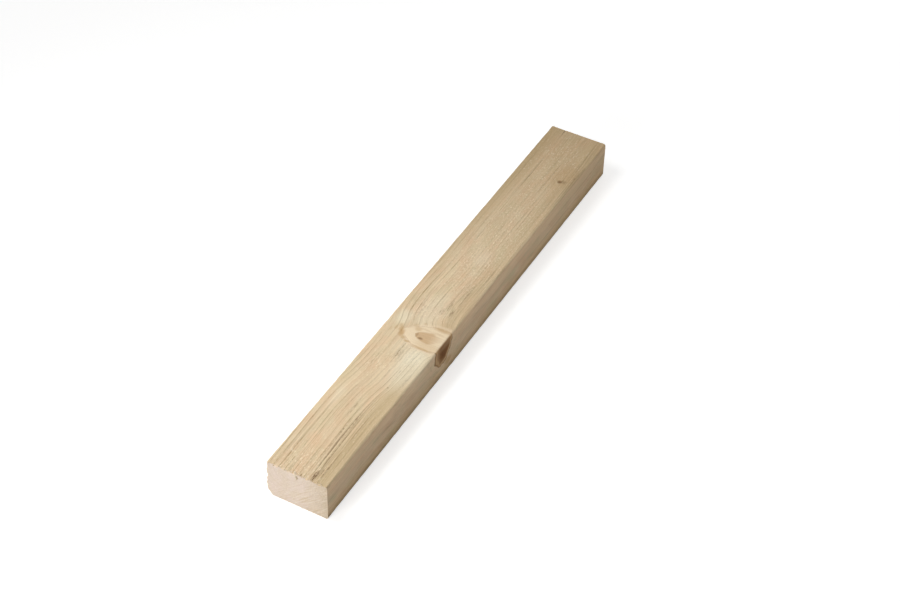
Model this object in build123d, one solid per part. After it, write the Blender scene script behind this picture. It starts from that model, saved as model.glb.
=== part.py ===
from build123d import *
import os

# A short length of planed softwood framing timber, lying flat. Sizes are in millimetres.
# X runs along the grain from the near end to the far end, Y across to the left edge, Z up.
# The origin is the middle of the bottom face.
plank_length = 510.0
plank_width = 58.0
plank_thickness = 38.0

# The planer leaves each long edge eased by a radius of its own.
top_right_arris = 2.0
top_left_arris = 1.5
bottom_right_arris = 2.0
bottom_left_arris = 2.5

# The bottom left corner of the near end is split off, running out along the grain.
break_width = 5.0
break_height = 6.0
break_length = 32.0

# A drying check opens the far end from the top face, and closes towards its tip.
check_place = 43.3  # from the right edge
check_opening = 0.8
check_depth = 9.0
check_length = 17.0
check_lean = 2.5  # how far its root lies nearer to the heart of the wood

near_end = -plank_length / 2
far_end = plank_length / 2
right_edge = -plank_width / 2
left_edge = plank_width / 2


def planed_section():
    # The four arrises are the corners of the section, so they run the whole length.
    outline = Rectangle(plank_width, plank_thickness, align=(Align.CENTER, Align.MIN))
    arrises = (
        (right_edge, plank_thickness, top_right_arris),
        (left_edge, plank_thickness, top_left_arris),
        (right_edge, 0, bottom_right_arris),
        (left_edge, 0, bottom_left_arris),
    )
    for across, up, radius in arrises:
        corner = outline.vertices().sort_by_distance((across, up, 0))[0]
        outline = fillet(corner, radius)
    return outline


def sawn_length():
    # Both ends are cut square, so the section is carried straight from one to the other.
    from_near_end = Plane(origin=(near_end, 0, 0), x_dir=(0, 1, 0), z_dir=(1, 0, 0))
    return extrude(from_near_end * planed_section(), amount=plank_length)


def break_corner(timber):
    # One flat split takes the corner off. It meets the end face, the side and the bottom
    # at the three distances of the break.
    inward = Vector(1 / break_length, -1 / break_width, 1 / break_height)
    on_end_face = Vector(near_end, left_edge, break_height)
    split_face = Plane(origin=on_end_face, z_dir=inward)
    return split(timber, bisect_by=split_face, keep=Keep.TOP)


def open_check(timber):
    # The check is a wedge: widest where the top face meets the far end, and narrowing both
    # down to its root and back to its tip.
    centre = right_edge + check_place
    half = check_opening / 2
    mouth = Polyline(
        (far_end, centre - half, plank_thickness),
        (far_end, centre + half, plank_thickness),
        (far_end, centre - check_lean, plank_thickness - check_depth),
        close=True,
    )
    tip = Vertex(far_end - check_length, centre, plank_thickness)
    return timber - loft([make_face(mouth), tip])


plank = open_check(break_corner(sawn_length()))

os.makedirs("parts", exist_ok=True)
export_step(plank, "parts/plank.step")
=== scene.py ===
import math
import bpy
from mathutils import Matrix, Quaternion, Vector


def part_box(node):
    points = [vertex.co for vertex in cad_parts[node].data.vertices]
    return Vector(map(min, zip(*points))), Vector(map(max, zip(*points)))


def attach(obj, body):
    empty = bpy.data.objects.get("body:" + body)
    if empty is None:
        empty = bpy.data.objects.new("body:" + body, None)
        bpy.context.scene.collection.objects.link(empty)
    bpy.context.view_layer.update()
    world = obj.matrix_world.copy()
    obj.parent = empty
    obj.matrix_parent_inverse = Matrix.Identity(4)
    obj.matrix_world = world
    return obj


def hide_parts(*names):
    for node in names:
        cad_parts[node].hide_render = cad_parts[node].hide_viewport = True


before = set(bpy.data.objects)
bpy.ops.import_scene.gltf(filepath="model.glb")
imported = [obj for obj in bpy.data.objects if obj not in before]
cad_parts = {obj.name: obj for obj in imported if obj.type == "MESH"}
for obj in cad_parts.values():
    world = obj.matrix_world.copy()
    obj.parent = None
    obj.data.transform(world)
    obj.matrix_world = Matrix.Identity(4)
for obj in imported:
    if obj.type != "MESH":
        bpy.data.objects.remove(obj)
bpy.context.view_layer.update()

# A length of planed spruce, lying flat. It is one piece of wood, so one solid figure of growth
# rings and knots runs through it. The relief, the long faces and the sawn ends all read that
# figure, so a line on the top face carries on down the side and across the end.
# The figure is in millimetres from the near right bottom corner: along, across, up.
# A setting of four numbers is a range: where it begins and ends, and what it gives there.

mm = 0.001
tiny = 1e-7                     # keeps a divisor above nought
low, high = (Vector(c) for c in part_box("plank"))
size = high - low
longMm, wideMm, thickMm = (s / mm for s in size)

vectorNode = "ShaderNodeVectorMath"
rangeNode = "ShaderNodeMapRange"
noiseNode = "ShaderNodeTexNoise"
mixNode = "ShaderNodeMix"
curveNode = "ShaderNodeFloatCurve"
joinNode = "ShaderNodeCombineXYZ"
partNode = "ShaderNodeSeparateXYZ"
smooth = {"interpolation_type": "SMOOTHSTEP"}


def put(tree, kind, feeds=(), **settings):
    # adds a node of this kind, or a math node where kind is an operation in capitals; feeds are
    # numbers, sockets or nodes for its inputs, by place or by name
    if kind.isupper():
        kind, settings["operation"] = "ShaderNodeMath", kind
    node = tree.nodes.new(kind)
    for name, value in settings.items():
        setattr(node, name, value)
    if not isinstance(feeds, dict):
        feeds = dict(enumerate(feeds))
    for name, value in feeds.items():
        socket = node.inputs[name]
        if isinstance(value, bpy.types.Node):
            value = next(out for out in value.outputs if out.enabled)
        if isinstance(value, bpy.types.NodeSocket):
            tree.links.new(value, socket)
        elif value is not None:
            socket.default_value = value
    return node


def tint(code):
    # an sRGB hex colour as the linear values that a shader reads
    parts = [int(code[i:i + 2], 16) / 255 for i in (1, 3, 5)]
    return tuple(p / 12.92 if p <= 0.04045 else ((p + 0.055) / 1.055) ** 2.4 for p in parts) + (1,)


def bendCurve(node, points, acrossSpan, upSpan):
    # sets a float curve's points in real units; the node itself works from 0 to 1
    curve = node.mapping.curves[0]
    node.mapping.extend = "HORIZONTAL"
    while len(curve.points) < len(points):
        curve.points.new(0.5, 0.5)
    for dot, (x, y) in zip(curve.points, points):
        dot.location = (x / acrossSpan, y / upSpan)
        dot.handle_type = "AUTO_CLAMPED"
    node.mapping.update()


def addAll(tree, *terms):
    total = terms[0]
    for term in terms[1:]:
        total = put(tree, "ADD", (total, term))
    return total


def cellNoise(tree, place, cell, detail, roughness):
    # noise with cells of this size along, across and up
    place = put(tree, vectorNode, (place, tuple(1 / c for c in cell)), operation="MULTIPLY")
    return put(tree, noiseNode,
               {"Vector": place, "Scale": 1.0, "Detail": detail, "Roughness": roughness})


# the figure of the wood

figure = {
    "driftCell": (110.0, 40.0, 40.0),       # the grain wanders over this length and width
    "drift": 0.4,
    # where the heart of the tree runs inside the plank: (along, across) and (along, up)
    "heartAcross": [(0, 36.8), (40, 37.5), (73, 37.9), (105, 36.4), (125, 33.6), (160, 31.8),
                    (190, 32.2), (202, 34.2), (214, 37.2), (240, 38.6), (290, 37.4), (340, 38.1),
                    (460, 38.0), (longMm, 39.2)],
    "heartUp": [(0, 36.6), (120, 36.2), (180, 35.0), (262, 38.2), (longMm, 37.6)],
    # radius of each growth ring's dark edge
    "rings": [0.0, 1.9, 4.2, 9.7, 14.8, 18.9, 22.4, 27.4, 31.6, 36.2, 41.0, 45.6, 50.2, 54.8,
              59.6, 64.0],
    "ringSpan": 66.0,
    "rise": (0.62, 0.93, 0.0, 1.0),         # within a ring, where late wood darkens and where it ends
    "risePower": 1.6,
    "drop": (0.945, 1.0, 1.0, 0.0),
    "young": (1.0, 4.2, 0.3, 1.0),          # the rings next to the heart are faint
    "fadeLength": 60.0,                     # a ring's dark edge comes and goes over this length
    "fadeStep": 3.7,                        # and not together with the next ring's
    "fade": (0.36, 0.62, 0.4, 1.15),
    "breakCell": (15.0, 1.5, 1.5),          # it is broken into strokes of this length and width
    "broken": (0.36, 0.6, 0.55, 1.2),
    "fibreCell": (80.0, 1.25, 1.25),
    "fleckCell": (2.6, 0.95, 0.95),         # ends of fibres that the knives lifted
    "wobbleScale": 0.11,                    # a branch's rim is uneven
    "wobble": (0.3, 0.7, 0.91, 1.09),
    "leastGirth": 0.05,
    "span": 60.0,
}

# A branch is a cone with a bent flank, from the heart out to the right edge. Its line is given at
# the right edge and by how far it moves for each millimetre across, down to alongLeast; its girth
# is (across, radius). It is deeper than wide, and leans to the near end on its way down.
knot = {
    "along": 190.9, "alongSwing": -0.05, "alongLeast": 0.0, "lean": 0.14,
    "up": 36.0, "upSwing": 0.02, "deep": 1.34,
    "girth": [(0, 15.0), (8, 14.6), (16, 13.8), (22, 12.6), (27, 10.8), (32, 7.8), (36, 4.6),
              (39, 1.8), (41, 0)],
    "push": 0.11,               # how far it pushes the rings outward, and over how much of its radius
    "pushReach": 0.55,
    "ringless": 1.1,            # no ring shows within this share of its radius
    "collar": 1.42,             # the pale wood that closed round it, out to this share
    "rings": 6.0,
}
knotCore = {
    "along": 193.4, "alongSwing": -0.42, "alongLeast": 189.3, "lean": 0.3,
    "up": 36.0, "upSwing": 0.03, "deep": 1.7,
    "girth": [(0, 9.8), (5, 8.0), (10, 7.3), (16, 6.8), (21, 5.8), (25, 3.8), (28.5, 0)],
}


def branchShare(tree, spot, across, up, branch, wobble):
    # 0 on the branch's centre line and 1 at its rim
    lineAlong = put(tree, "MULTIPLY_ADD", (across, branch["alongSwing"], branch["along"]))
    lineAlong = put(tree, "MAXIMUM", (lineAlong, branch["alongLeast"]))
    raised = put(tree, "SUBTRACT", (up, branch["up"]))
    lineAlong = put(tree, "MULTIPLY_ADD", (raised, branch["lean"], lineAlong))
    lineUp = put(tree, "MULTIPLY_ADD", (across, branch["upSwing"], branch["up"]))
    line = put(tree, joinNode, (lineAlong, across, lineUp))
    away = put(tree, vectorNode, (spot, line), operation="SUBTRACT")
    away = put(tree, vectorNode, (away, (1, 1, 1 / branch["deep"])), operation="MULTIPLY")
    away = put(tree, vectorNode, (away,), operation="LENGTH")
    away = put(tree, "MULTIPLY", (away, wobble))
    share = put(tree, "DIVIDE", (across, figure["span"]))
    girth = put(tree, curveNode, (1.0, share))
    bendCurve(girth, branch["girth"], figure["span"], figure["span"])
    girth = put(tree, "MULTIPLY_ADD", (girth, figure["span"], figure["leastGirth"]))
    return put(tree, "DIVIDE", (away, girth))


blotHeart = 0.25                # a soft spot has its full strength within this share of its size


def blots(tree, spot, places):
    # soft spots, each with its centre, its three half sizes and its strength
    here = []
    for centre, halfSize, strength in places:
        offset = put(tree, vectorNode, (spot, centre), operation="SUBTRACT")
        offset = put(tree, vectorNode, (offset, tuple(1 / h for h in halfSize)), operation="MULTIPLY")
        away = put(tree, vectorNode, (offset,), operation="LENGTH")
        here.append(put(tree, rangeNode, (away, blotHeart, 1.0, strength, 0.0), **smooth))
    return addAll(tree, *here)


# marks on the top face and the right side, as centre, half sizes and strength

marks = {
    # where the rings show clearly
    "clear": [((5, 46, 38), (120, 20, 12), 0.72), ((45, 17, 38), (85, 15, 12), 0.6),
              ((244, 42, 38), (62, 16, 8), 0.52), ((380, 42.4, 38), (150, 2.8, 3), 0.8),
              ((335, 38.2, 38), (80, 2.6, 3), 0.7)],
    # where the knives lifted the fibres most
    "lifted": [((5, 32, 38), (40, 30, 8), 0.6), ((172, 15, 38), (40, 20, 8), 0.9),
               ((140, 38, 38), (40, 16, 8), 0.35), ((222, 30, 38), (26, 26, 8), 0.5),
               ((335, 26, 38), (120, 34, 8), 0.7), ((455, 28, 38), (60, 34, 8), 0.4)],
    # short dark strokes where grime was planed over
    "strokes": [((46, 22.6, 38), (38, 1.2, 3), 0.8), ((66, 22.2, 38), (15, 1.1, 3), 0.5),
                ((52, 18.5, 38), (54, 1.4, 3), 0.75), ((76, 18.8, 38), (18, 1.6, 3), 0.5),
                ((6, 15.4, 38), (9, 2.6, 3), 1.6), ((12, 12.4, 38), (10, 1.1, 3), 0.8),
                ((40, 15.8, 38), (32, 1.2, 3), 0.95), ((18, 10.2, 38), (16, 1.0, 3), 1.1),
                ((87, 27.9, 38), (16, 1.4, 3), 0.85), ((96, 13.6, 38), (10, 0.9, 3), 0.35),
                ((162, 28.2, 38), (8, 2.2, 3), 0.9), ((172, 28.7, 38), (6, 1.4, 3), 0.6),
                ((147, 42.6, 38), (15, 1.0, 3), 0.5), ((138, 15.8, 38), (18, 1.0, 3), 0.4),
                ((137, 24.4, 38), (15, 1.0, 3), 0.35), ((136, 5.6, 38), (15, 2.0, 3), 0.45),
                ((236, 18.2, 38), (11, 1.4, 3), 1.0), ((228, 12.8, 38), (9, 1.8, 3), 1.2),
                ((225, 21.2, 38), (6, 2.8, 3), 0.7), ((260, 12.6, 38), (18, 2.2, 3), 0.75),
                ((266, 17.0, 38), (10, 1.4, 3), 0.45), ((292, 32.6, 38), (8, 1.2, 3), 0.4),
                ((289, 6.8, 38), (9, 1.2, 3), 0.5), ((338, 24.6, 38), (22, 1.1, 3), 0.35),
                ((300, 0.6, 37.4), (18, 1.2, 2), 0.6)],
    "grime": [((48, 17, 38), (80, 8, 4), 0.5), ((160, 27.5, 38), (16, 5, 4), 0.4),
              ((244, 14, 38), (34, 9, 4), 0.45), ((268, 4, 38), (44, 6, 4), 0.4),
              ((455, 2, 38), (90, 11, 6), 0.45)],
    "pale": [((150, 12, 38), (42, 20, 12), 0.9), ((172, 18, 38), (26, 26, 9), 0.45),
             ((222, 30, 38), (34, 18, 8), 0.55), ((305, 23, 38), (14, 9, 8), 0.45),
             ((204, 47, 38), (15, 10, 6), 0.8), ((92, 47, 38), (24, 5, 5), 0.5)],
    # resin, round the knot's rims and in the wood below it
    "streak": [((185.6, 38.6, 38), (6.4, 3.6, 4), 0.8), ((189.6, 41.4, 38), (4.8, 3.0, 4), 0.65),
               ((193.6, 43.6, 38), (3.6, 3.0, 4), 0.4), ((181.0, 34.6, 38), (3.0, 4.4, 4), 0.5),
               ((178.4, 29.6, 38), (2.0, 4.6, 4), 0.7), ((189.2, 46.2, 38), (4.6, 2.2, 4), 0.35),
               ((185.2, 49.8, 38), (5.0, 1.6, 4), 0.3), ((204.8, 8.0, 38), (4.0, 14.0, 6), 0.62),
               ((199.6, 31.6, 38), (3.4, 4.0, 4), 0.35), ((204.8, 25.6, 38), (2.4, 3.0, 4), 0.35),
               ((199.0, 0.0, 13), (9.0, 20.0, 6.0), 0.7), ((175.8, 15.0, 38), (2.4, 15.0, 4), 0.48),
               ((198.4, 22.0, 38), (1.5, 9.0, 4), 0.28), ((198.8, 9.0, 38), (1.6, 9.0, 4), 0.34),
               ((180.6, 10.0, 38), (8.0, 19.0, 5), 0.3), ((196.0, 28.0, 38), (4.0, 5.0, 4), 0.5),
               ((444.0, 13.0, 38), (26.0, 17.0, 5), 0.28)],
    # pin knots and pith
    "pins": [((437.0, 12.8, 38), (3.2, 3.0, 4), 1.0), ((438.6, 9.0, 38), (3.8, 3.6, 4), 0.45),
             ((447.8, 2.8, 38), (2.6, 1.2, 3), 0.4), ((121.4, 15.0, 38), (1.4, 1.1, 3), 0.55),
             ((1.6, 25.6, 38), (2.4, 0.9, 3), 0.9), ((186.8, 21.0, 38), (2.0, 3.6, 3), 0.85),
             ((189.4, 25.6, 38), (4.4, 1.6, 3), 0.4)],
}


def timberFigure(tree, place):
    # place is a position in metres; the result holds the sockets that relief and colours read
    spot = put(tree, vectorNode, (place, (1 / mm,) * 3), operation="MULTIPLY")
    spot = put(tree, vectorNode, (spot, tuple(-c / mm for c in low)), operation="ADD")
    along, across, up = put(tree, partNode, (spot,)).outputs

    wobble = put(tree, noiseNode, {"Vector": spot, "Scale": figure["wobbleScale"], "Detail": 1.2,
                                   "Roughness": 0.4})
    wobble = put(tree, rangeNode, (wobble, *figure["wobble"]))
    knotShare = branchShare(tree, spot, across, up, knot, wobble)
    coreShare = branchShare(tree, spot, across, up, knotCore, wobble)

    # position from the heart line, with the grain's own wander
    share = put(tree, "DIVIDE", (along, longMm))
    heart = []
    for name in ("heartAcross", "heartUp"):
        line = put(tree, curveNode, (1.0, share))
        bendCurve(line, figure[name], longMm, figure["span"])
        heart.append(put(tree, "MULTIPLY", (line, figure["span"])))
    wander = cellNoise(tree, spot, figure["driftCell"], 2.0, 0.5)
    wander = put(tree, vectorNode, (wander.outputs["Color"], (0.5,) * 3), operation="SUBTRACT")
    drift = 2 * figure["drift"]
    wander = put(tree, vectorNode, (wander, (0, drift, drift)), operation="MULTIPLY")
    flow = put(tree, vectorNode, (spot, put(tree, joinNode, (0.0, *heart))), operation="SUBTRACT")
    flow = put(tree, vectorNode, (flow, wander), operation="ADD")

    # the knot pushes the rings outward round its rim, less and less with distance
    beyond = put(tree, "SUBTRACT", (knotShare, 1.0))
    beyond = put(tree, "MAXIMUM", (beyond, 0.0))
    beyond = put(tree, "DIVIDE", (beyond, knot["pushReach"]))
    nearness = put(tree, "POWER", (beyond, 2.0))
    nearness = put(tree, "MULTIPLY", (nearness, -1.0))
    nearness = put(tree, "EXPONENT", (nearness,))
    squeeze = put(tree, "MULTIPLY_ADD", (nearness, -knot["push"], 1.0))
    squeeze = put(tree, joinNode, (1.0, squeeze, squeeze))
    flow = put(tree, vectorNode, (flow, squeeze), operation="MULTIPLY")
    flat = put(tree, vectorNode, (flow, (0, 1, 1)), operation="MULTIPLY")
    radius = put(tree, vectorNode, (flat,), operation="LENGTH")

    # which ring, and how far through it: pale early wood at 0, the dark late edge near 1
    rings = figure["rings"]
    ringShare = put(tree, "DIVIDE", (radius, figure["ringSpan"]))
    ringCurve = put(tree, curveNode, (1.0, ringShare))
    bendCurve(ringCurve, [(r, i) for i, r in enumerate(rings)], figure["ringSpan"], len(rings))
    ringCount = put(tree, "MULTIPLY", (ringCurve, float(len(rings))))
    ringNumber = put(tree, "FLOOR", (ringCount,))
    phase = put(tree, "FRACT", (ringCount,))
    rise = put(tree, rangeNode, (phase, *figure["rise"]), **smooth)
    rise = put(tree, "POWER", (rise, figure["risePower"]))
    drop = put(tree, rangeNode, (phase, *figure["drop"]), **smooth)
    late = put(tree, "MULTIPLY", (rise, drop))
    fadePlace = put(tree, joinNode, (along, ringNumber))
    fadeSteps = (1 / figure["fadeLength"], figure["fadeStep"], 0)
    fadePlace = put(tree, vectorNode, (fadePlace, fadeSteps), operation="MULTIPLY")
    fade = put(tree, noiseNode, {"Vector": fadePlace, "Scale": 1.0, "Detail": 2.5, "Roughness": 0.6})
    fade = put(tree, rangeNode, (fade, *figure["fade"]), **smooth)
    broken = cellNoise(tree, flow, figure["breakCell"], 2.0, 0.55)
    broken = put(tree, rangeNode, (broken, *figure["broken"]), **smooth)
    outside = put(tree, rangeNode, (knotShare, knot["ringless"], knot["collar"], 0.0, 1.0), **smooth)
    young = put(tree, rangeNode, (radius, *figure["young"]))
    for share in (fade, broken, outside, young):
        late = put(tree, "MULTIPLY", (late, share))

    # long fibres, and flecks where the knives lifted their ends, both along the bent grain
    fibre = cellNoise(tree, flow, figure["fibreCell"], 4.0, 0.66)
    fleck = cellNoise(tree, flow, figure["fleckCell"], 2.0, 0.6)
    return {"spot": spot, "along": along, "across": across, "up": up, "flow": flow,
            "late": late, "fibre": fibre, "fleck": fleck, "knot": knotShare, "core": coreShare}


# finishes

def newMaterial(name):
    material = bpy.data.materials.new(name)
    material.use_nodes = True
    tree = material.node_tree
    tree.nodes.clear()
    shader = put(tree, "ShaderNodeBsdfPrincipled")
    put(tree, "ShaderNodeOutputMaterial", {"Surface": shader})
    return material, tree, shader


def blend(tree, share, first, second):
    first = tint(first) if isinstance(first, str) else first
    second = tint(second) if isinstance(second, str) else second
    return put(tree, mixNode, {0: share, 6: first, 7: second}, data_type="RGBA")


def shareOf(tree, sources, *ranges):
    # the product of ranges; each begins with the name of what it reads, and a sixth word makes it
    # soft at both ends
    product = None
    for source, *limits in ranges:
        share = put(tree, rangeNode, (sources[source], *limits[:4]), **(smooth if limits[4:] else {}))
        product = share if product is None else put(tree, "MULTIPLY", (product, share))
    return product


def paint(tree, sources, colour, *layers):
    # lays tones over a colour in turn, each as strong as the product of its ranges
    for tone, *ranges in layers:
        colour = blend(tree, shareOf(tree, sources, *ranges), colour, tone)
    return colour


def upToOne(tree, value, strength):
    # a value scaled by a strength, and kept to a share from 0 to 1
    return put(tree, "MULTIPLY", (value, strength), use_clamp=True)


def addBump(tree, shader, height, depth):
    # the finest relief, too small for the mesh
    bump = put(tree, "ShaderNodeBump", {"Height": height, "Strength": 1.0, "Distance": depth * mm})
    tree.links.new(bump.outputs[0], shader.inputs["Normal"])


# The knot's tones. Ranges are in millimetres, or in shares of the knot's or its core's radius.
# A layer is a tone and the ranges that show it.
knotTones = {
    "body": "#E6D2B2", "rim": "#A9855A",
    "sideBody": "#A8815A", "sideBand": "#CDA97F", "sideRim": "#8C6237",
    "arris": (-1.8, 0.6, 0.0, 1.0),         # where the top turns into the side
    "collar": ("#E7D3B5", ("knot", 1.0, knot["collar"], 0.8, 0.0, "soft"),
               ("onSide", 0.0, 1.0, 1.0, 0.2)),
    "ripple": (0.35, 0.65, 0.0, 0.05),
    "egg": (1.0, 13.0, 0.2, 1.0),           # on top the core closes and fades towards the edge
    "topCore": ("#C7A780", ("egg", 1.18, 0.74, 0.0, 1.0, "soft"),
                ("across", 1.5, 16.0, 0.1, 0.85, "soft")),
    # on the side it is darkest low down and near
    "sideCore": ("#74461A", ("core", 1.0, 0.55, 0.0, 1.0, "soft"), ("along", 188.0, 203.0, 1.0, 0.15),
                 ("up", 28.0, 35.0, 0.95, 0.4), ("fleck", 0.35, 0.65, 0.6, 1.25)),
    "coreShown": [("core", 1.12, 0.86, 0.0, 1.0, "soft"), ("up", 30.5, 35.0, 1.0, 0.5)],
    "bandSlope": -0.8,                      # a paler band lies round it and out on its far side
    "band": ("band", 158.0, 174.0, 0.0, 1.0),
    "paleRing": [("knot", 0.70, 0.80, 0.0, 1.0, "soft"), ("knot", 0.95, 0.87, 0.0, 0.75, "soft")],
    "inside": ("knot", 1.03, 0.95, 0.0, 1.0, "soft"),
    "rimWidth": ("fleck", 0.36, 0.62, 0.11, 0.03),
    "rimOnSide": ("onSide", 0.0, 1.0, 0.3, 0.8),
}


def knotColour(tree, wood, colour):
    # on the top face the branch is cut along its length and stays pale; on the side it is cut
    # across, so its core is dark
    share, tones = wood["knot"], knotTones
    depth = put(tree, "SUBTRACT", (thickMm, wood["up"]))
    depth = put(tree, "SUBTRACT", (depth, wood["across"]))
    onSide = put(tree, rangeNode, (depth, *tones["arris"]), **smooth)
    # cut along its length, the core shows as an egg
    egg = put(tree, rangeNode, (wood["across"], *tones["egg"]))
    egg = put(tree, "DIVIDE", (wood["core"], egg))
    band = put(tree, "MULTIPLY_ADD", (wood["up"], tones["bandSlope"], wood["along"]))
    sources = {**wood, "onSide": onSide, "egg": egg, "band": band}
    colour = paint(tree, sources, colour, tones["collar"])
    top = paint(tree, sources, tones["body"], tones["topCore"])
    # cut across, it is dark, in a paler body
    heartwood = paint(tree, sources, tones["sideRim"], tones["sideCore"])
    band = shareOf(tree, sources, tones["band"])
    band = put(tree, "MAXIMUM", (band, shareOf(tree, sources, *tones["paleRing"])))
    side = blend(tree, band, tones["sideBody"], tones["sideBand"])
    side = blend(tree, shareOf(tree, sources, *tones["coreShown"]), side, heartwood)
    body = blend(tree, onSide, top, side)
    # the branch's own rings, of no even strength
    ripple = put(tree, "MULTIPLY", (share, 2 * math.pi * knot["rings"]))
    ripple = put(tree, "SINE", (ripple,))
    uneven = put(tree, rangeNode, (wood["fleck"], *tones["ripple"]))
    ripple = put(tree, "MULTIPLY_ADD", (ripple, uneven, 1.0))
    body = put(tree, vectorNode, (body, ripple), operation="MULTIPLY")
    colour = blend(tree, shareOf(tree, sources, tones["inside"]), colour, body)
    # its rim: a soft broken line on top and a dark one on the side
    rim = put(tree, "SUBTRACT", (share, 1.0))
    rim = put(tree, "ABSOLUTE", (rim,))
    rimWidth = shareOf(tree, sources, tones["rimWidth"])
    rim = put(tree, rangeNode, (rim, rimWidth, 0.0, 0.0, 1.0), **smooth)
    rim = put(tree, "MULTIPLY", (rim, shareOf(tree, sources, tones["rimOnSide"])))
    rimTone = blend(tree, onSide, tones["rim"], tones["sideRim"])
    return blend(tree, rim, colour, rimTone)


# Norway spruce, planed and kiln dried. The knives leave it matt with a faint sheen along the
# grain. Late wood is harder, so its lines are darker and stand a little proud. The range keeps
# the sides' tones off the underside; middle is how far a point lies from the middle of the width.
offUnderside = ("middle", wideMm / 2 - 6.0, wideMm / 2 - 1.0, 0.0, 1.0)
spruce = {
    "early": "#DCC7A5", "flank": "#E6CAA8", "pale": "#E8DCC0", "late": "#9A8159", "fleck": "#F2E3C6",
    # the grime tone also serves as the painted shadow beside the lifted flecks
    "grime": "#6E5439", "resin": "#B8925E", "pin": "#7C5C3A",
    "cloudCell": (26, 11, 11),              # the wood's own colour drifts over this length and width
    # layers over the top: pinker and greener drifts, and darker tones out to the right edge and
    # far off to the left
    "onTop": [
        ("#DCBD9A", ("red", 0.38, 0.66, 0.0, 0.85)),
        ("#D4C29D", ("green", 0.46, 0.70, 0.0, 0.75)),
        ("#C6AF89", ("across", 19.0, 8.0, 0.0, 1.0), ("across", 1.0, 7.0, 0.6, 1.0),
         ("along", 60.0, 320.0, 1.0, 0.5)),
        ("#C6AF89", ("across", 43.0, 54.0, 0.0, 1.0), ("along", 220.0, 440.0, 0.0, 1.0))],
    # layers over the sides: drifts, then painted shade: lighter high up, and yellower and darker low
    # down towards the floor
    "onSide": [
        ("#DDB893", ("blue", 0.45, 0.68, 0.0, 0.8)),
        ("#D3C39C", ("green", 0.45, 0.68, 0.0, 0.7)),
        # painted shade: lighter high up and darker, yellower low down, deepening towards the floor
        ("#F4D5AE", ("up", 21.0, 34.0, 0.0, 0.7)),
        ("#E2BD89", ("up", 16.0, 4.0, 0.0, 0.6), offUnderside)],
    "side": ("up", 37.6, 36.0, 0.0, 0.9),   # the sides begin at the top arris
    # layers over both, painted shade: darker at the foot, near the floor, and darker towards the far
    # end, where the lamps' light falls off, less on the sides
    "paintedShadeOnBoth": [
        # painted shade near the floor
        ("#9A7F5B", ("up", 8.0, 0.0, 0.0, 0.8), offUnderside),
        # painted shade where the lamps' light falls off towards the far end
        ("#C6A87C", ("along", 330.0, 510.0, 0.0, 0.55), ("up", 37.6, 36.0, 1.0, 0.595))],
    "ringsLeast": 0.2,                      # the least that rings, threads, flecks and soil show
    "threadLeast": 0.32,
    "fleckLeast": 0.22,
    "soilLeast": 0.10,
    "ringsMost": 0.9,
    "soilMost": 0.5,
    "markMost": 0.8,
    "thread": (0.25, 0.75, -0.15, 0.13),
    "liftedShare": (0.55, 0.70, 0.0, 1.0),
    # where the painted shadow beside the lifted flecks shows
    "fleckShadowShare": (0.44, 0.30, 0.0, 0.22),
    "groove": (0.58, 0.40, 0.0, 1.0),
    "dots": (0.56, 0.38, 0.25, 1.0),
    "roughness": (0.3, 0.7, 0.70, 0.56),
    "sheen": 0.16,
    "fleckRelief": 0.8,
    "ringRelief": 0.9,
    "reliefDepth": 0.16,
}


def faceTones(tree, wood):
    # the wood's colour on the top, on the sides and out to the far end, with painted shade low on the
    # sides and towards the far end
    cloud = cellNoise(tree, wood["flow"], spruce["cloudCell"], 3.0, 0.55)
    red, green, blue = put(tree, partNode, (cloud.outputs["Color"],)).outputs
    middle = put(tree, "SUBTRACT", (wood["across"], wideMm / 2))
    middle = put(tree, "ABSOLUTE", (middle,))
    sources = {**wood, "red": red, "green": green, "blue": blue, "middle": middle}
    top = paint(tree, sources, spruce["early"], *spruce["onTop"])
    side = paint(tree, sources, spruce["flank"], *spruce["onSide"])
    colour = blend(tree, shareOf(tree, sources, spruce["side"]), top, side)
    return paint(tree, sources, colour, *spruce["paintedShadeOnBoth"])


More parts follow.
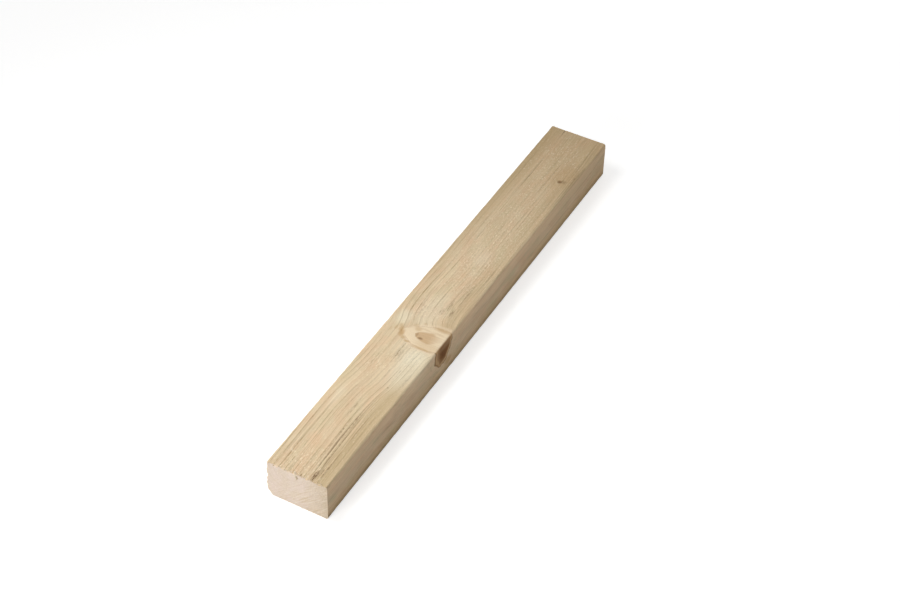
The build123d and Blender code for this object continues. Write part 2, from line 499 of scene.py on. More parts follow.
def planedSpruceFace():
    material, tree, shader = newMaterial("planedSpruceFace")
    wood = timberFigure(tree, put(tree, "ShaderNodeTexCoord").outputs["Object"])
    here = {name: blots(tree, wood["spot"], places) for name, places in marks.items()}
    colour = faceTones(tree, wood)
    colour = blend(tree, upToOne(tree, here["pale"], spruce["markMost"]), colour, spruce["pale"])
    # rings, clear in some places and faint in others
    shown = put(tree, "ADD", (here["clear"], spruce["ringsLeast"]))
    rings = put(tree, "MULTIPLY", (wood["late"], shown))
    colour = blend(tree, upToOne(tree, rings, spruce["ringsMost"]), colour, spruce["late"])
    # fibres: light and dark threads, pale flecks of lifted ends, and painted shadow beside the flecks
    thread = put(tree, rangeNode, (wood["fibre"], *spruce["thread"]))
    threadShown = put(tree, "ADD", (shown, spruce["threadLeast"]))
    thread = put(tree, "MULTIPLY_ADD", (thread, threadShown, 1.0))
    colour = put(tree, vectorNode, (colour, thread), operation="MULTIPLY")
    much = put(tree, "ADD", (here["lifted"], spruce["fleckLeast"]))
    lifted = put(tree, rangeNode, (wood["fleck"], *spruce["liftedShare"]), **smooth)
    colour = blend(tree, upToOne(tree, lifted, much), colour, spruce["fleck"])
    # painted shadow that the lifted fibre ends would cast, laid on in the grime tone
    fleckShadow = put(tree, rangeNode, (wood["fleck"], *spruce["fleckShadowShare"]), **smooth)
    colour = blend(tree, upToOne(tree, fleckShadow, much), colour, spruce["grime"])
    # grime: in strokes, and in the grooves between the fibres
    groove = put(tree, rangeNode, (wood["fibre"], *spruce["groove"]), **smooth)
    dots = put(tree, rangeNode, (wood["fleck"], *spruce["dots"]), **smooth)
    soil = put(tree, "ADD", (here["grime"], spruce["soilLeast"]))
    soil = put(tree, "MULTIPLY", (soil, groove))
    soil = put(tree, "MULTIPLY_ADD", (here["strokes"], dots, soil))
    colour = blend(tree, upToOne(tree, soil, spruce["soilMost"]), colour, spruce["grime"])
    colour = knotColour(tree, wood, colour)
    colour = blend(tree, upToOne(tree, here["streak"], spruce["markMost"]), colour, spruce["resin"])
    colour = blend(tree, upToOne(tree, here["pins"], spruce["markMost"]), colour, spruce["pin"])
    tree.links.new(colour.outputs[2], shader.inputs["Base Color"])
    rough = put(tree, rangeNode, (wood["fibre"], *spruce["roughness"]))
    tree.links.new(rough.outputs[0], shader.inputs["Roughness"])
    shader.inputs["Specular IOR Level"].default_value = spruce["sheen"]
    lift = put(tree, "MULTIPLY_ADD", (wood["fleck"], spruce["fleckRelief"], wood["fibre"]))
    lift = put(tree, "MULTIPLY_ADD", (wood["late"], spruce["ringRelief"], lift))
    addBump(tree, shader, lift, spruce["reliefDepth"])
    return material


# The same spruce across the grain, cut by a coarse circular saw. The blade leaves a furry, paler
# face: the rings are faint, with lifted fibre ends between them.
sawnEnd = {
    "tan": "#CDBAA0", "ring": "#CDB491", "tuft": "#EDE2D3", "mark": "#CBB38D",
    "cloudScale": 0.11,
    # layers: lilac out to the left, and pale drifts
    "drifts": [("#E4D2C3", ("across", 0.0, 24.0, 0.0, 1.0)),
               ("#E0CEB8", ("cloud", 0.4, 0.65, 0.0, 0.7))],
    "ringStrength": 0.26,
    "markRise": 42.0,           # the saw's marks rise this steeply to the right, this long and wide
    "markLength": 16.0,
    "markWidth": 1.25,
    "markLow": (30.0, 66.0, 1.0, 0.25),     # clearest low on the right
    "darker": (0.47, 0.34, 0.0, 0.62),
    "paler": (0.54, 0.68, 0.0, 0.62),
    "speckScale": 0.75,
    "speck": (0.54, 0.72, 0.0, 0.5),
    "grain": (0.3, 0.6, 0.93, 1.03),
    "roughness": 0.85,
    "sheen": 0.2,
    "markRelief": 0.8,
    "reliefDepth": 0.35,
}


def sawnSpruceEnd():
    material, tree, shader = newMaterial("sawnSpruceEnd")
    wood = timberFigure(tree, put(tree, "ShaderNodeTexCoord").outputs["Object"])
    spot = wood["spot"]
    cloud = put(tree, noiseNode, {"Vector": spot, "Scale": sawnEnd["cloudScale"], "Detail": 3.0,
                                  "Roughness": 0.55})
    colour = paint(tree, {**wood, "cloud": cloud}, sawnEnd["tan"], *sawnEnd["drifts"])
    rings = upToOne(tree, wood["late"], sawnEnd["ringStrength"])
    colour = blend(tree, rings, colour, sawnEnd["ring"])
    # saw marks
    slope = math.radians(sawnEnd["markRise"])
    ways = ((-math.cos(slope), math.sin(slope)), (math.sin(slope), math.cos(slope)))
    lengths = (sawnEnd["markLength"], sawnEnd["markWidth"])
    placed = [put(tree, vectorNode, (spot, (0, a / s, b / s)), operation="DOT_PRODUCT").outputs["Value"]
              for (a, b), s in zip(ways, lengths)]
    placed = put(tree, joinNode, placed)
    mark = put(tree, noiseNode, {"Vector": placed, "Scale": 1.0, "Detail": 3.0, "Roughness": 0.6})
    markLow = put(tree, "ADD", (wood["up"], wood["across"]))
    markLow = put(tree, rangeNode, (markLow, *sawnEnd["markLow"]), **smooth)
    for share, tone in (("darker", "mark"), ("paler", "tuft")):
        marked = put(tree, rangeNode, (mark, *sawnEnd[share]), **smooth)
        colour = blend(tree, upToOne(tree, marked, markLow), colour, sawnEnd[tone])
    speck = put(tree, noiseNode, {"Vector": spot, "Scale": sawnEnd["speckScale"], "Detail": 3.0,
                                  "Roughness": 0.65})
    tuft = put(tree, rangeNode, (speck, *sawnEnd["speck"]), **smooth)
    colour = blend(tree, tuft, colour, sawnEnd["tuft"])
    grain = put(tree, rangeNode, (speck, *sawnEnd["grain"]))
    colour = put(tree, vectorNode, (colour, grain), operation="MULTIPLY")
    tree.links.new(colour.outputs[0], shader.inputs["Base Color"])
    shader.inputs["Roughness"].default_value = sawnEnd["roughness"]
    shader.inputs["Specular IOR Level"].default_value = sawnEnd["sheen"]
    furrow = put(tree, "MULTIPLY_ADD", (mark, sawnEnd["markRelief"], speck))
    addBump(tree, shader, furrow, sawnEnd["reliefDepth"])
    return material


# the plank: settings that are single numbers become inputs of its node tree

plank = {
    "cuts": (320, 84, 52),      # mesh points along, across and up
    "topRightArris": 2.0,
    "topLeftArris": 1.5,
    "bottomRightArris": 2.0,
    "bottomLeftArris": 2.5,
    "breakLength": 32.0,        # the split corner, along, across and up
    "breakWidth": 5.0,
    "breakHeight": 6.0,
    "checkPlace": 43.3,         # the drying check, from the right edge
    "checkOpening": 0.8,
    "checkDepth": 9.0,
    "checkLength": 17.0,
    "checkLean": 2.5,
    "checkTip": (-0.5, 0.5, 0.03, 1.08),    # its cutter runs out past the end face and the top
    "checkRoot": (-0.5, 0.5, 0.05, 1.08),
    "checkLid": 0.6,
    "ridge": 0.12,              # relief of late wood, fibres, knot and saw cut
    "thread": 0.14,
    "knotDome": 0.25,
    "domeRim": (1.05, 0.7, 0.0, 1.0),
    "pit": -0.30,
    "sawTooth": 0.22,
    "furScale": 0.6,
    "wear": 0.35,               # bruises on the arrises
    "bruiseCell": (9, 30, 30),
    "bruise": (0.45, 0.75, 0.0, -1.0),
    "edgeReach": (2.5, 0.5),
    "ragged": 1.5,              # how far the saw tore the near end's top and left rims
    "tornWay": (1.0, -0.3, -0.6),
    "tornDeep": (0.1, 0.5, 1.0, 0.0),
    "tornReach": (1.2, 0.2),
    "toothScale": 0.32,
    "tooth": (0.42, 0.62, 0.0, 1.0),
    "endFacing": (0.5, 0.9, 0.0, 1.0),
    "endSteep": 0.75,           # faces turned this far to an end are sawn, the others planed
    "sharpAngle": 0.7,
}


def newShape(name, settings):
    # a node tree with an input for each single number
    tree = bpy.data.node_groups.new(name, "GeometryNodeTree")
    tree.interface.new_socket(name="Geometry", in_out="INPUT", socket_type="NodeSocketGeometry")
    for label, value in settings.items():
        if isinstance(value, (int, float)):
            kind = "NodeSocketInt" if isinstance(value, int) else "NodeSocketFloat"
            tree.interface.new_socket(name=label, in_out="INPUT", socket_type=kind)
    tree.interface.new_socket(name="Geometry", in_out="OUTPUT", socket_type="NodeSocketGeometry")
    return tree, put(tree, "NodeGroupInput").outputs


def roundEdges(tree, given, place, shape):
    # long edges, rounded in the section: the square corner is drawn in onto the arc
    x, y, z = put(tree, partNode, (place,)).outputs
    isRight = put(tree, "LESS_THAN", (y, 0.0))
    isTop = put(tree, "GREATER_THAN", (z, size.z / 2))
    upper = put(tree, mixNode, (isRight, None, given["topLeftArris"], given["topRightArris"]))
    lower = put(tree, mixNode, (isRight, None, given["bottomLeftArris"], given["bottomRightArris"]))
    arris = put(tree, mixNode, (isTop, None, lower, upper))
    arris = put(tree, "MULTIPLY", (arris, mm))
    flatY = put(tree, "SUBTRACT", (size.y / 2, arris))
    minusY = put(tree, "MULTIPLY", (flatY, -1.0))
    flatZ = put(tree, "SUBTRACT", (size.z, arris))
    innerY = put(tree, "ShaderNodeClamp", (y, minusY, flatY))
    innerZ = put(tree, "ShaderNodeClamp", (z, arris, flatZ))
    overY = put(tree, "SUBTRACT", (y, innerY))
    overZ = put(tree, "SUBTRACT", (z, innerZ))
    absY = put(tree, "ABSOLUTE", (overY,))
    absZ = put(tree, "ABSOLUTE", (overZ,))
    most = put(tree, "MAXIMUM", (absY, absZ))
    reach = put(tree, vectorNode, (put(tree, joinNode, (overY, overZ)),), operation="LENGTH")
    reach = put(tree, "MAXIMUM", (reach, tiny))
    pull = put(tree, "DIVIDE", (most, reach))
    newY = put(tree, "MULTIPLY_ADD", (overY, pull, innerY))
    newZ = put(tree, "MULTIPLY_ADD", (overZ, pull, innerZ))
    rounded = put(tree, joinNode, (x, newY, newZ))
    return put(tree, "GeometryNodeSetPosition", {"Geometry": shape, "Position": rounded})


def splitCorner(tree, given, place, shape):
    # points past the split face are drawn back onto it
    inward = [put(tree, "DIVIDE", (way, given[name]))
              for way, name in ((1.0, "breakLength"), (-1.0, "breakWidth"), (1.0, "breakHeight"))]
    inward = put(tree, vectorNode, (put(tree, joinNode, inward),), operation="NORMALIZE")
    breakUp = put(tree, "MULTIPLY", (given["breakHeight"], mm))
    onFace = put(tree, joinNode, (low.x, high.y, breakUp))
    past = put(tree, vectorNode, (place, onFace), operation="SUBTRACT")
    past = put(tree, vectorNode, (past, inward), operation="DOT_PRODUCT")
    past = put(tree, "MINIMUM", (past, 0.0))
    past = put(tree, "MULTIPLY", (past, -1.0))
    drawn = put(tree, vectorNode, {"Vector": inward, "Scale": past}, operation="SCALE")
    return put(tree, "GeometryNodeSetPosition", {"Geometry": shape, "Offset": drawn})


def cutCheck(tree, given, place, shape):
    # the drying check: a wedge cut out, thin at its root and at its tip
    wedge = put(tree, "GeometryNodeMeshCube", {"Size": (1, 1, 1)})
    x, y, z = put(tree, partNode, (place,)).outputs
    opened = put(tree, rangeNode, (x, *plank["checkTip"]))
    raised = put(tree, rangeNode, (z, -0.5, 0.5, 0.0, 1.0))
    spread = put(tree, rangeNode, (z, *plank["checkRoot"]))
    checkLength = put(tree, "MULTIPLY", (given["checkLength"], mm))
    tipX = put(tree, "SUBTRACT", (high.x, checkLength))
    wedgeX = put(tree, "MULTIPLY_ADD", (opened, checkLength, tipX))
    width = put(tree, "MULTIPLY", (given["checkOpening"], mm))
    width = put(tree, "MULTIPLY", (width, y))
    width = put(tree, "MULTIPLY", (width, spread))
    sunk = put(tree, "SUBTRACT", (1.0, raised))
    lean = put(tree, "MULTIPLY", (given["checkLean"], -mm))
    lean = put(tree, "MULTIPLY", (lean, sunk))
    sideways = put(tree, "ADD", (width, lean))
    middle = put(tree, "MULTIPLY_ADD", (given["checkPlace"], mm, low.y))
    wedgeY = put(tree, "MULTIPLY_ADD", (sideways, opened, middle))
    depth = put(tree, "MULTIPLY", (given["checkDepth"], -mm))
    depth = put(tree, "MULTIPLY", (depth, opened))
    lid = put(tree, "MULTIPLY", (given["checkLid"], mm))
    lid = put(tree, "MULTIPLY_ADD", (raised, lid, size.z))
    wedgeZ = put(tree, "MULTIPLY_ADD", (depth, sunk, lid))
    wedgePlace = put(tree, joinNode, (wedgeX, wedgeY, wedgeZ))
    wedge = put(tree, "GeometryNodeSetPosition", {"Geometry": wedge, "Position": wedgePlace})
    return put(tree, "GeometryNodeMeshBoolean", (shape, wedge), operation="DIFFERENCE", solver="EXACT")


def nearRim(tree, value, length, reach):
    # rises from 0 to 1 over the last millimetres before a length
    return put(tree, rangeNode, (value, length - reach[0], length - reach[1], 0.0, 1.0))


def reliefHeight(tree, given, wood, endOn):
    # long faces from the figure, sawn ends from the saw's teeth, and bruised arrises
    ridge = put(tree, "MULTIPLY", (wood["late"], given["ridge"]))
    thread = put(tree, "SUBTRACT", (wood["fibre"], 0.5))
    thread = put(tree, "MULTIPLY", (thread, given["thread"]))
    dome = put(tree, rangeNode, (wood["knot"], *plank["domeRim"]), **smooth)
    dome = put(tree, "MULTIPLY", (dome, given["knotDome"]))
    pits = blots(tree, wood["spot"], marks["pins"])
    pits = put(tree, "MULTIPLY", (pits, given["pit"]))
    overFace = addAll(tree, ridge, thread, dome, pits)
    fur = put(tree, noiseNode, {"Vector": wood["spot"], "Scale": given["furScale"], "Detail": 2.0,
                                "Roughness": 0.6})
    fur = put(tree, "SUBTRACT", (fur, 0.5))
    fur = put(tree, "MULTIPLY", (fur, given["sawTooth"]))
    height = put(tree, mixNode, (endOn, None, overFace, fur))
    onEdge = []
    for name, half in (("across", wideMm / 2), ("up", thickMm / 2)):
        edge = put(tree, "SUBTRACT", (wood[name], half))
        edge = put(tree, "ABSOLUTE", (edge,))
        onEdge.append(nearRim(tree, edge, half, plank["edgeReach"]))
    onEdge = put(tree, "MULTIPLY", onEdge)
    bruise = cellNoise(tree, wood["spot"], plank["bruiseCell"], 3.0, 0.6)
    bruise = put(tree, rangeNode, (bruise, *plank["bruise"]))
    bruise = put(tree, "MULTIPLY", (bruise, given["wear"]))
    height = put(tree, "MULTIPLY_ADD", (bruise, onEdge, height))
    return put(tree, "MULTIPLY", (height, mm))


def tornRim(tree, given, wood):
    # the saw's exit side: the near end's top and left rims are torn
    atEnd = put(tree, rangeNode, (wood["along"], *plank["tornDeep"]))
    onTop = nearRim(tree, wood["up"], thickMm, plank["tornReach"])
    onLeft = nearRim(tree, wood["across"], wideMm, plank["tornReach"])
    rim = put(tree, "MAXIMUM", (onTop, onLeft))
    tooth = put(tree, noiseNode, {"Vector": wood["spot"], "Scale": given["toothScale"], "Detail": 3.0,
                                  "Roughness": 0.8})
    tooth = put(tree, rangeNode, (tooth, *plank["tooth"]))
    for factor in (atEnd, tooth, given["ragged"], mm):
        rim = put(tree, "MULTIPLY", (rim, factor))
    return put(tree, vectorNode, {"Vector": plank["tornWay"], "Scale": rim}, operation="SCALE")


def aboveFloor(tree, place):
    # nothing goes below the floor; the lower limits for x and y are out of reach
    return put(tree, vectorNode, (place, (-1.0, -1.0, 0.0)), operation="MAXIMUM")


def plankTree(faceMaterial, endMaterial):
    tree, given = newShape("plankShape", plank)
    # a box with points all over, its foot on the floor
    box = put(tree, "GeometryNodeMeshCube", (tuple(size), *plank["cuts"]))
    shape = put(tree, "GeometryNodeTransform", {"Geometry": box, "Translation": (0, 0, size.z / 2)})
    place = put(tree, "GeometryNodeInputPosition")
    shape = roundEdges(tree, given, place, shape)
    shape = splitCorner(tree, given, place, shape)
    shape = cutCheck(tree, given, place, shape)

    wood = timberFigure(tree, place)
    facing = put(tree, "GeometryNodeInputNormal")
    facingX = put(tree, partNode, (facing,)).outputs["X"]
    endwise = put(tree, "ABSOLUTE", (facingX,))
    endOn = put(tree, rangeNode, (endwise, *plank["endFacing"]))
    height = reliefHeight(tree, given, wood, endOn)
    offset = put(tree, vectorNode, {"Vector": facing, "Scale": height}, operation="SCALE")
    moved = put(tree, vectorNode, (place, offset), operation="ADD")
    moved = put(tree, vectorNode, (moved, tornRim(tree, given, wood)), operation="ADD")
    moved = aboveFloor(tree, moved)
    shape = put(tree, "GeometryNodeSetPosition", {"Geometry": shape, "Position": moved})

    # smooth faces, with sharp rims at the saw cuts
    angle = put(tree, "GeometryNodeInputMeshEdgeAngle")
    crisp = put(tree, "GREATER_THAN", (angle, given["sharpAngle"]))
    shape = put(tree, "GeometryNodeSetShadeSmooth", {"Geometry": shape, "Shade Smooth": True})
    shape = put(tree, "GeometryNodeSetShadeSmooth",
                {"Geometry": shape, "Selection": crisp, "Shade Smooth": False}, domain="EDGE")
    shape = put(tree, "GeometryNodeRealizeInstances", (shape,))
    shape = put(tree, "GeometryNodeSetMaterial", {"Geometry": shape, "Material": faceMaterial})
    steep = put(tree, "GREATER_THAN", (endwise, given["endSteep"]))
    shape = put(tree, "GeometryNodeSetMaterial",
                {"Geometry": shape, "Selection": steep, "Material": endMaterial})
    put(tree, "NodeGroupOutput", (shape,))
    return tree


def plainMesh(name, tree, settings):
    # runs the tree once, and keeps what it made as an ordinary mesh
    holder = bpy.data.objects.new(name + "Maker", bpy.data.meshes.new(name + "Source"))
    bpy.context.scene.collection.objects.link(holder)
    maker = holder.modifiers.new("shape", "NODES")
    maker.node_group = tree
    for socket in tree.interface.items_tree:
        if socket.in_out == "INPUT" and socket.name in settings:
            maker[socket.identifier] = settings[socket.name]
    ready = holder.evaluated_get(bpy.context.evaluated_depsgraph_get())
    mesh = bpy.data.meshes.new_from_object(ready)
    mesh.name = name
    bpy.data.objects.remove(holder)
    piece = bpy.data.objects.new(name, mesh)
    bpy.context.scene.collection.objects.link(piece)
    print(name, "triangles", sum(len(f.vertices) - 2 for f in mesh.polygons))
    return piece


print("plank")
plankPiece = plainMesh("plankWood", plankTree(planedSpruceFace(), sawnSpruceEnd()), plank)
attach(plankPiece, "root")
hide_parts("plank")


# Fibres that the saw tore at its exit side, standing round the rims of both ends.
torn = {
    "tries": 420,               # places tried round each end, and the share of them that hold a fibre
    "topShare": 0.42,
    "leftShare": 0.40,
    "otherShare": 0.05,
    "farShare": 0.2,            # the far end is torn less
    "splitClear": 1.25,         # none where the corner is split off, out to this share of the split
    "leftTop": 20.0,            # the left rim is torn up to this height
    "rimBand": 1.0,
    "bendFrom": 0.6,            # where a fibre bends and how far its tip bends over, as shares of
    "bend": 0.3,                # its length
    "taper": (0.2, 1.0, 1.0, 0.25),
    "shortest": 0.5,
    "longest": 1.5,
    "leftLongest": 2.4,
    "halfWidth": 0.24,
    "widthShares": (0.5, 1.3),
    "halfThickness": 0.11,
    "outward": (0, 22.0, 34.0),             # how strongly they splay from the end's middle
    "stray": (0.4, 0.5, 0.5),
    "rootInside": 0.9,
    "rimInset": 0.45,
    "rimFillet": 2.6,
    # the one broad splinter that curls over the near end's top rim, by its root, bend and tip
    "curl": [(4.6, 32.8, 36.9), (-2.2, 30.4, 40.6), (-0.8, 28.0, 33.6)],
    "curlHalfWidth": 0.8,
    "curlRoot": (0.0, 0.35, 0.3, 1.0),
    "curlTip": (0.45, 1.0, 1.0, 0.15),
    "proud": 0.9,               # the most that any stands above the top face
    "seed": 5,
}


# Bare ends of spruce fibres, torn by the saw: matt, and paler than the planed faces.
bareFibre = {
    "dark": "#D8C3A2", "light": "#EFE4D2",
    "toneScale": 0.9,
    "tone": (0.35, 0.65, 0.0, 1.0),
    "roughness": 0.8,
    "sheen": 0.2,
}


def tornSpruceFibre():
    material, tree, shader = newMaterial("tornSpruceFibre")
    place = put(tree, "ShaderNodeTexCoord").outputs["Object"]
    tone = put(tree, noiseNode, {"Vector": place, "Scale": bareFibre["toneScale"] / mm, "Detail": 2.0,
                                 "Roughness": 0.6})
    share = put(tree, rangeNode, (tone, *bareFibre["tone"]))
    colour = blend(tree, share, bareFibre["dark"], bareFibre["light"])
    tree.links.new(colour.outputs[2], shader.inputs["Base Color"])
    shader.inputs["Roughness"].default_value = bareFibre["roughness"]
    shader.inputs["Specular IOR Level"].default_value = bareFibre["sheen"]
    return material


def oneFibre(tree, given):
    # a millimetre long: bent, and tapered to its tip
    bendFrom = put(tree, "MULTIPLY", (given["bendFrom"], mm))
    bendOver = put(tree, "MULTIPLY", (given["bend"], mm))
    stem = put(tree, "GeometryNodeCurveQuadraticBezier",
               {"Resolution": 5, "Start": (0, 0, 0), "Middle": put(tree, joinNode, (0.0, 0.0, bendFrom)),
                "End": put(tree, joinNode, (bendOver, 0.0, mm))})
    taper = put(tree, "GeometryNodeSplineParameter").outputs["Factor"]
    taper = put(tree, rangeNode, (taper, *torn["taper"]))
    stem = put(tree, "GeometryNodeSetCurveRadius", {"Curve": stem, "Radius": taper})
    section = put(tree, "GeometryNodeCurvePrimitiveCircle", {"Resolution": 5, "Radius": mm})
    return put(tree, "GeometryNodeCurveToMesh",
               {"Curve": stem, "Profile Curve": section, "Fill Caps": True})


def curledSplinter(tree, given):
    root, bend, tip = (tuple(low[i] + b[i] * mm for i in range(3)) for b in torn["curl"])
    curl = put(tree, "GeometryNodeCurveQuadraticBezier",
               {"Resolution": 12, "Start": root, "Middle": bend, "End": tip})
    share = put(tree, "GeometryNodeSplineParameter").outputs["Factor"]
    rootward = put(tree, rangeNode, (share, *torn["curlRoot"]))
    tipward = put(tree, rangeNode, (share, *torn["curlTip"]))
    broad = put(tree, "MULTIPLY", (tipward, rootward))
    curl = put(tree, "GeometryNodeSetCurveRadius", {"Curve": curl, "Radius": broad})
    blade = put(tree, "GeometryNodeCurvePrimitiveCircle", {"Resolution": 10, "Radius": mm})
    breadth = put(tree, joinNode, (given["curlHalfWidth"], given["halfThickness"], 1.0))
    blade = put(tree, "GeometryNodeTransform", {"Geometry": blade, "Scale": breadth})
    return put(tree, "GeometryNodeCurveToMesh",
               {"Curve": curl, "Profile Curve": blade, "Fill Caps": True})


def tornTree(material):
    tree, given = newShape("tornShape", torn)
    stem = oneFibre(tree, given)
    place = put(tree, "GeometryNodeInputPosition")
    x, y, z = put(tree, partNode, (place,)).outputs

    # points go round the rim, and more of them hold a fibre where the blade came out
    lengths = ("rimInset", "rimFillet", "rimBand", "leftTop")
    rimInset, rimFillet, rimBand, leftTop = (put(tree, "MULTIPLY", (given[n], mm)) for n in lengths)
    rimWide = put(tree, "MULTIPLY_ADD", (rimInset, -2.0, size.y))
    rimTall = put(tree, "MULTIPLY_ADD", (rimInset, -2.0, size.z))
    topBand = put(tree, "SUBTRACT", (size.z, rimBand))
    onTop = put(tree, "GREATER_THAN", (z, topBand))
    leftBand = put(tree, "SUBTRACT", (size.y / 2, rimBand))
    onLeft = put(tree, "GREATER_THAN", (y, leftBand))
    below = put(tree, "LESS_THAN", (z, leftTop))
    onLeft = put(tree, "MULTIPLY", (onLeft, below))
    rimShare = put(tree, mixNode, (onTop, None, given["otherShare"], given["topShare"]))
    rimShare = put(tree, mixNode, (onLeft, None, rimShare, given["leftShare"]))
    longest = put(tree, mixNode, (onLeft, None, given["longest"], given["leftLongest"]))
    # 1 and less within the split corner
    split = put(tree, "SUBTRACT", (size.y / 2, y))
    split = put(tree, "DIVIDE", (split, plank["breakWidth"] * mm))
    splitUp = put(tree, "DIVIDE", (z, plank["breakHeight"] * mm))
    split = addAll(tree, split, splitUp)
    whole = put(tree, "GREATER_THAN", (split, given["splitClear"]))

    everything = put(tree, "GeometryNodeJoinGeometry")
    ends = ((low.x, -1.0, whole), (high.x, 1.0, given["farShare"]))
    for number, (endX, way, endShare) in enumerate(ends):
        rim = put(tree, "GeometryNodeCurvePrimitiveQuadrilateral", {"Width": rimWide, "Height": rimTall})
        rim = put(tree, "GeometryNodeFilletCurve", {"Curve": rim, "Radius": rimFillet, "Count": 6},
                  mode="POLY")
        stand = {"Geometry": rim, "Translation": (endX, 0, size.z / 2),
                 "Rotation": (math.pi / 2, 0, math.pi / 2)}
        rim = put(tree, "GeometryNodeTransform", stand)
        dots = put(tree, "GeometryNodeCurveToPoints", {"Curve": rim, "Count": given["tries"]},
                   mode="COUNT")
        seed = put(tree, "ADD", (given["seed"], 10.0 * number))
        share = put(tree, "MULTIPLY", (rimShare, endShare))
        held = put(tree, "FunctionNodeRandomValue", {"Probability": share, "Seed": seed},
                   data_type="BOOLEAN")
        length = put(tree, "FunctionNodeRandomValue", {2: given["shortest"], 3: longest, "Seed": seed},
                     data_type="FLOAT")
        outward = put(tree, vectorNode, (place, (0, 0, size.z / 2)), operation="SUBTRACT")
        outward = put(tree, vectorNode, (outward, torn["outward"]), operation="MULTIPLY")
        outward = put(tree, vectorNode, (outward, (way, 0, 0)), operation="ADD")
        least = tuple(-s for s in torn["stray"])
        stray = put(tree, "FunctionNodeRandomValue", {0: least, 1: torn["stray"], "Seed": seed},
                    data_type="FLOAT_VECTOR")
        outward = put(tree, vectorNode, (outward, stray), operation="ADD")
        turn = put(tree, "FunctionNodeAlignRotationToVector", {"Vector": outward}, axis="Z")
        narrow, wide = torn["widthShares"]
        width = put(tree, "FunctionNodeRandomValue", {2: narrow, 3: wide, "Seed": seed},
                    data_type="FLOAT")
        width = put(tree, "MULTIPLY", (width, given["halfWidth"]))
        flat = put(tree, "MINIMUM", (given["halfThickness"], width))
        scale = put(tree, joinNode, (flat, width, length))
        fibres = put(tree, "GeometryNodeInstanceOnPoints",
                     {"Points": dots.outputs["Points"], "Selection": held.outputs[3], "Instance": stem,
                      "Rotation": turn, "Scale": scale})
        sunk = put(tree, "MULTIPLY", (given["rootInside"], -way * mm))
        fibres = put(tree, "GeometryNodeTranslateInstances",
                     {"Instances": fibres, "Translation": put(tree, joinNode, (sunk,)),
                      "Local Space": False})
        tree.links.new(fibres.outputs[0], everything.inputs[0])
    tree.links.new(curledSplinter(tree, given).outputs[0], everything.inputs[0])

    shape = put(tree, "GeometryNodeRealizeInstances", (everything,))
    # handling has pressed them down to this height
    lid = put(tree, "MULTIPLY_ADD", (given["proud"], mm, size.z))
    lid = put(tree, joinNode, (1.0, 1.0, lid))
    pressed = put(tree, vectorNode, (aboveFloor(tree, place), lid), operation="MINIMUM")
    shape = put(tree, "GeometryNodeSetPosition", {"Geometry": shape, "Position": pressed})
    shape = put(tree, "GeometryNodeSetMaterial", {"Geometry": shape, "Material": material})
    put(tree, "NodeGroupOutput", (shape,))
    return tree


print("torn fibres")
tornPiece = plainMesh("tornFibres", tornTree(tornSpruceFibre()), torn)
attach(tornPiece, "root")


# floor, lamps and camera

studio = {
    "floorSize": 9.0,
    "floor": "#D2D2D1",
    "floorRoughness": 0.95,
    # only the camera sees this glow, so the floor photographs white; it grows away from the plank
    "glow": (0.35, 1.6, 0.64, 0.97),
    "key": {"place": (-0.17, 0.32, 0.80), "aim": (-0.10, 0.0, 0.03),
            "size": 0.40, "power": 1.16, "spread": 90.0},
    "front": {"place": (-1.15, 0.15, 0.42), "aim": (-0.255, 0.0, 0.02),
              "size": 0.50, "power": 6.3, "spread": 180.0},
    "right": {"place": (0.70, -0.95, 0.42), "aim": (0.24, 0.0, 0.02),
              "size": 0.50, "power": 0.50, "spread": 100.0},
    "rear": {"place": (1.05, 0.20, 0.16), "aim": (0.255, 0.0, 0.02),
             "size": 0.24, "power": 1.05, "spread": 180.0},
    "sky": 0.265,
    "cameraPlace": (-1.15442, -0.61656, 1.24077),
    "cameraAim": (0.00485, 0.00287, 0.019),
    "cameraRoll": 1.449,
    "lens": 80.29,
    "sensor": 36.0,
    "clipStart": 0.05,
}


def pointed(place, aim):
    return (Vector(aim) - Vector(place)).to_track_quat("-Z", "Y")


def addLamp(name, lamp):
    light = bpy.data.lights.new(name, "AREA")
    light.shape = "DISK"
    light.size = lamp["size"]
    light.energy = lamp["power"]
    light.spread = math.radians(lamp["spread"])
    holder = bpy.data.objects.new(name, light)
    holder.location = lamp["place"]
    holder.rotation_mode = "QUATERNION"
    holder.rotation_quaternion = pointed(lamp["place"], lamp["aim"])
    bpy.context.scene.collection.objects.link(holder)


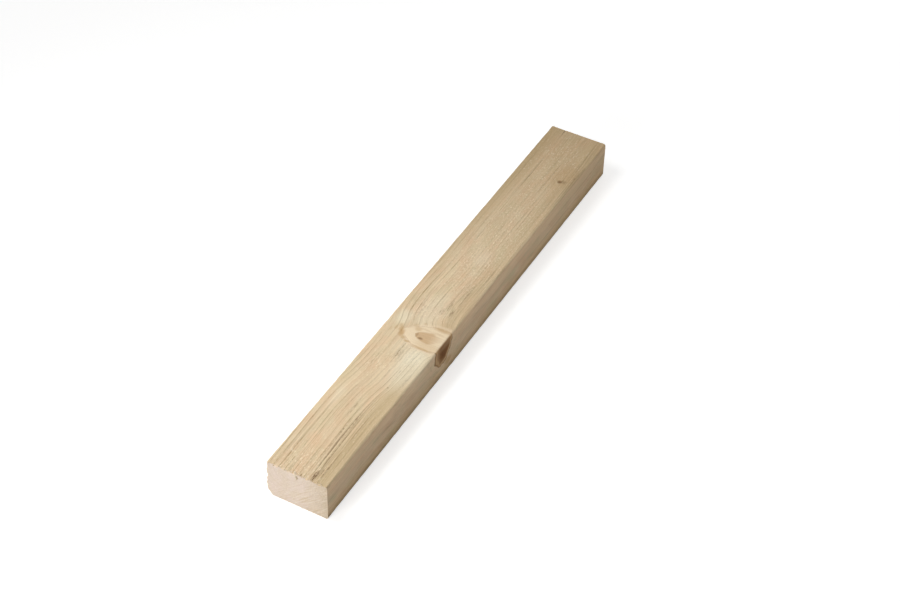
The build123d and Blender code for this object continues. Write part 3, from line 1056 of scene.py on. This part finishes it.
def addFloor():
    half = studio["floorSize"] / 2
    corners = [(-half, -half, 0), (half, -half, 0), (half, half, 0), (-half, half, 0)]
    mesh = bpy.data.meshes.new("paperSweep")
    mesh.from_pydata(corners, [], [(0, 1, 2, 3)])
    floor = bpy.data.objects.new("paperSweep", mesh)
    bpy.context.scene.collection.objects.link(floor)
    # matt white paper, lit so that only the camera sees it glow
    material, tree, shader = newMaterial("mattPaper")
    shader.inputs["Base Color"].default_value = tint(studio["floor"])
    shader.inputs["Roughness"].default_value = studio["floorRoughness"]
    shader.inputs["Specular IOR Level"].default_value = 0.0
    shader.inputs["Emission Color"].default_value = (1, 1, 1, 1)
    seen = put(tree, "ShaderNodeLightPath").outputs["Is Camera Ray"]
    place = put(tree, "ShaderNodeTexCoord").outputs["Object"]
    away = put(tree, vectorNode, (place,), operation="LENGTH")
    glow = put(tree, rangeNode, (away, *studio["glow"]))
    glow = put(tree, "MULTIPLY", (seen, glow))
    tree.links.new(glow.outputs[0], shader.inputs["Emission Strength"])
    mesh.materials.append(material)


def addSky():
    # dim for the plank and white for the camera
    world = bpy.data.worlds.new("softbox")
    world.use_nodes = True
    tree = world.node_tree
    tree.nodes.clear()
    seen = put(tree, "ShaderNodeLightPath").outputs["Is Camera Ray"]
    strength = put(tree, mixNode, (seen, None, studio["sky"], 1.0))
    sky = put(tree, "ShaderNodeBackground", {"Color": (1, 1, 1, 1), "Strength": strength})
    put(tree, "ShaderNodeOutputWorld", {"Surface": sky})
    bpy.context.scene.world = world


def addCamera():
    lens = bpy.data.cameras.new("camera")
    lens.sensor_width = studio["sensor"]
    lens.lens = studio["lens"]
    lens.clip_start = studio["clipStart"]
    camera = bpy.data.objects.new("camera", lens)
    camera.location = studio["cameraPlace"]
    camera.rotation_mode = "QUATERNION"
    roll = Quaternion((0, 0, 1), math.radians(studio["cameraRoll"]))
    camera.rotation_quaternion = pointed(studio["cameraPlace"], studio["cameraAim"]) @ roll
    bpy.context.scene.collection.objects.link(camera)
    bpy.context.scene.camera = camera


print("studio")
addFloor()
addSky()
for name in ("key", "front", "right", "rear"):
    addLamp(name, studio[name])
addCamera()
bpy.context.scene.view_settings.view_transform = "Standard"
